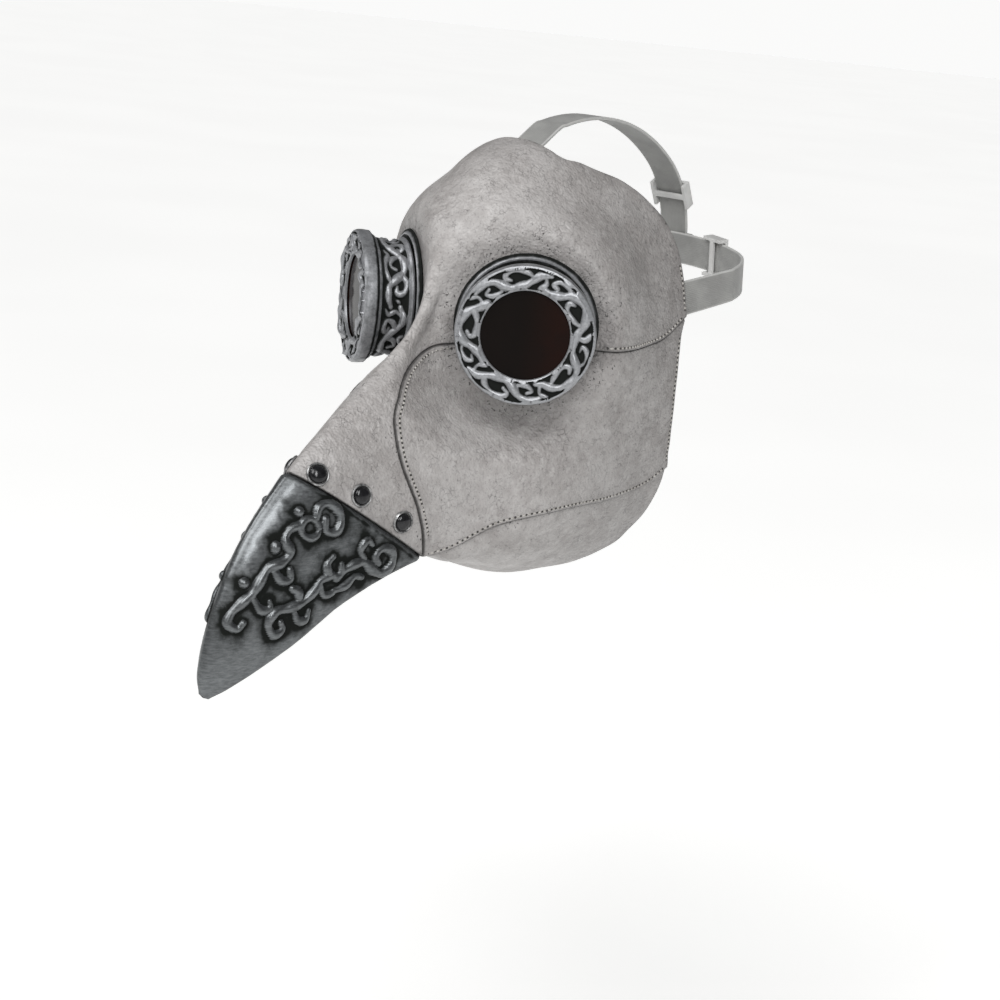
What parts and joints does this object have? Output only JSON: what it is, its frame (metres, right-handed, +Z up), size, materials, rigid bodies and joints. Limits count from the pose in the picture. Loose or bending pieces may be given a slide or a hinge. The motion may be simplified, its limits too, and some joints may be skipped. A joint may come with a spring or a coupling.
{
  "type": "plague doctor mask",
  "caption": "Leather-look face mask with a long drooping beak, riveted silver beak cap, goggle eyepieces and an elastic head harness.",
  "frame": {"origin": "centre of the wearer's head at eye level: the point where the axes of the two eyepieces cross, in the mask's middle plane", "axes": "+Z up, -Y the way the face looks, +X towards the wearer's left"},
  "size_m": [0.1856, 0.4031, 0.2974],
  "materials": {
    "leather_grey": "aged grey-white leather, satin, dark speckles and rubbed seams",
    "lining": "suede lining and reinforcement patches",
    "antique_silver": "silvered casting with black antiquing in the hollows",
    "rivet_ring_silver": "worn silver paint",
    "dark_metal": "glossy black",
    "lens_dark": "glossy, very dark red-brown tint",
    "rubber_black": "matt",
    "strap_elastic": "woven elastic, pale grey",
    "slider_plastic": "satin moulded plastic"
  },
  "bodies": {
    "mask": {"crown_panel": "leather_grey", "chin_panel": "leather_grey", "cheek_panel_left": "leather_grey", "cheek_panel_right": "leather_grey", "beak_cap": "antique_silver", "cheek_top_seam_tape_left": "lining", "cheek_bottom_seam_tape_left": "lining", "cheek_top_seam_tape_right": "lining", "cheek_bottom_seam_tape_right": "lining", "eye_flange_left": "antique_silver", "eye_barrel_left": "antique_silver", "eye_bezel_left": "antique_silver", "eye_gasket_left": "rubber_black", "eye_clamp_ring_left": "dark_metal", "lens_left": "lens_dark", "eye_flange_right": "antique_silver", "eye_barrel_right": "antique_silver", "eye_bezel_right": "antique_silver", "eye_gasket_right": "rubber_black", "eye_clamp_ring_right": "dark_metal", "lens_right": "lens_dark", "rivet_left_1": "dark_metal", "rivet_ring_left_1": "rivet_ring_silver", "rivet_burr_left_1": "dark_metal", "rivet_left_2": "dark_metal", "rivet_ring_left_2": "rivet_ring_silver", "rivet_burr_left_2": "dark_metal", "rivet_left_3": "dark_metal", "rivet_ring_left_3": "rivet_ring_silver", "rivet_burr_left_3": "dark_metal", "rivet_right_1": "dark_metal", "rivet_ring_right_1": "rivet_ring_silver", "rivet_burr_right_1": "dark_metal", "rivet_right_2": "dark_metal", "rivet_ring_right_2": "rivet_ring_silver", "rivet_burr_right_2": "dark_metal", "rivet_right_3": "dark_metal", "rivet_ring_right_3": "rivet_ring_silver", "rivet_burr_right_3": "dark_metal", "strap_anchor_left": "lining", "strap_anchor_right": "lining", "strap_anchor_top": "lining"},
    "harness": {"back_strap": "strap_elastic", "top_strap": "strap_elastic", "strap_junction_patch": "lining"},
    "back_slider": {"back_slider": "slider_plastic"},
    "top_slider": {"top_slider": "slider_plastic"}
  },
  "joints": [
    {"name": "harness_stretch", "type": "slide", "parent": "mask", "child": "harness", "axis": [0, 1, 0], "range_m": [0, 0.045], "stiffness_N_per_m": 120, "deforming": ["back_strap", "top_strap"]},
    {"name": "back_slider_travel", "type": "hinge", "parent": "harness", "child": "back_slider", "pos_m": [0, 0.045, 0.01322], "axis": [0, -0.1392, 0.9903], "range_deg": [-8, 8]},
    {"name": "top_slider_travel", "type": "hinge", "parent": "harness", "child": "top_slider", "pos_m": [0, 0.08525, 0.02954], "axis": [1, 0, 0], "range_deg": [-12, 15]}
  ]
}
